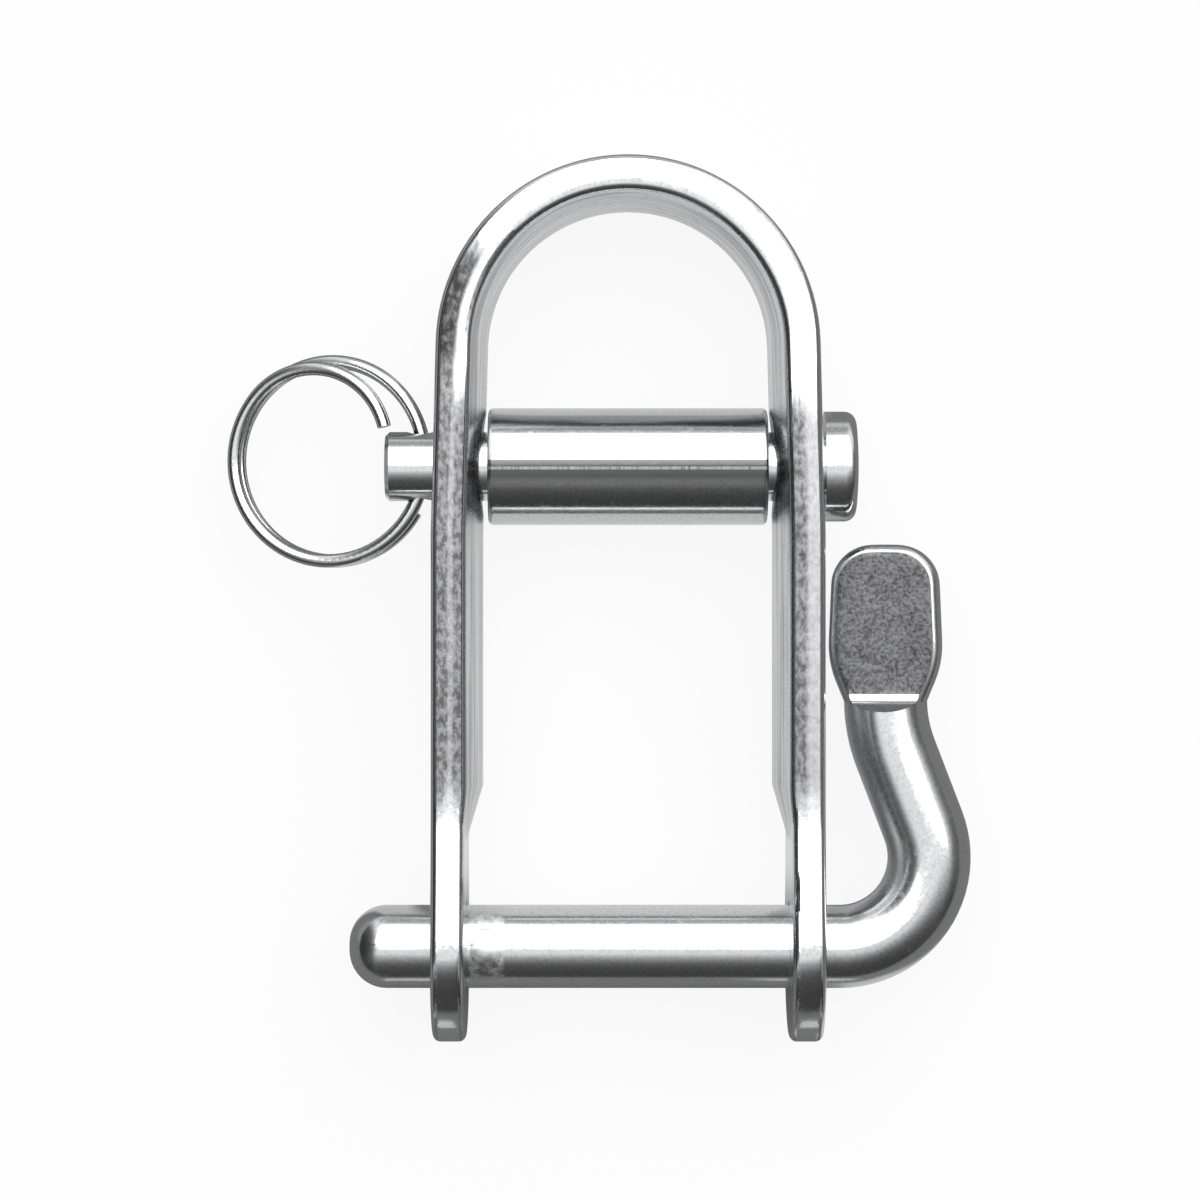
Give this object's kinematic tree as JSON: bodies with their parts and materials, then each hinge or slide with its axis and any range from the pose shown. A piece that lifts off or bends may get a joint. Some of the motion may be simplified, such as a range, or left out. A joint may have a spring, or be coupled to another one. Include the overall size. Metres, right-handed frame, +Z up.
{
  "type": "halyard shackle",
  "caption": "Long bow shackle for a sail's halyard: a half-oval bar with flat ears, a captive key pin with a bent-back handle, a roller on a clevis pin, and a split ring.",
  "frame": {"origin": "on the key pin's axis, midway between the two ears", "axes": "+X along the key pin towards its handle, +Y from the key pin to the top of the bow, +Z up, square to the plane of the shackle as it lies flat"},
  "size_m": [0.0541, 0.0636, 0.0136],
  "materials": {
    "polished_bar": "polished stainless steel with a fine rough grain on the legs",
    "polished_rod": "polished stainless steel, with a sand-like grain on the pressed paddle",
    "turned_pin": "turned and polished stainless steel",
    "turned_roller": "turned and polished stainless steel",
    "spring_wire": "bright drawn stainless spring wire"
  },
  "bodies": {
    "shackle": {"shackle_body": "polished_bar"},
    "key_pin": {"key_pin": "polished_rod"},
    "clevis": {"clevis_pin": "turned_pin"},
    "roller": {"roller": "turned_roller"},
    "ring": {"split_ring": "spring_wire"}
  },
  "joints": [
    {"name": "key_pin_slide", "type": "slide", "parent": "shackle", "child": "key_pin", "axis": [1, 0, 0], "range_m": [0, 0.0203]},
    {"name": "clevis_pin_spin", "type": "hinge", "parent": "shackle", "child": "clevis", "pos_m": [0, 0.0347, 0], "axis": [1, 0, 0], "continuous": true},
    {"name": "roller_spin", "type": "hinge", "parent": "clevis", "child": "roller", "pos_m": [0, 0.0347, 0], "axis": [1, 0, 0], "continuous": true},
    {"name": "split_ring_swing", "type": "hinge", "parent": "clevis", "child": "ring", "pos_m": [-0.01499, 0.0347, 0], "axis": [0, 1, 0], "range_deg": [-30, 90]}
  ]
}
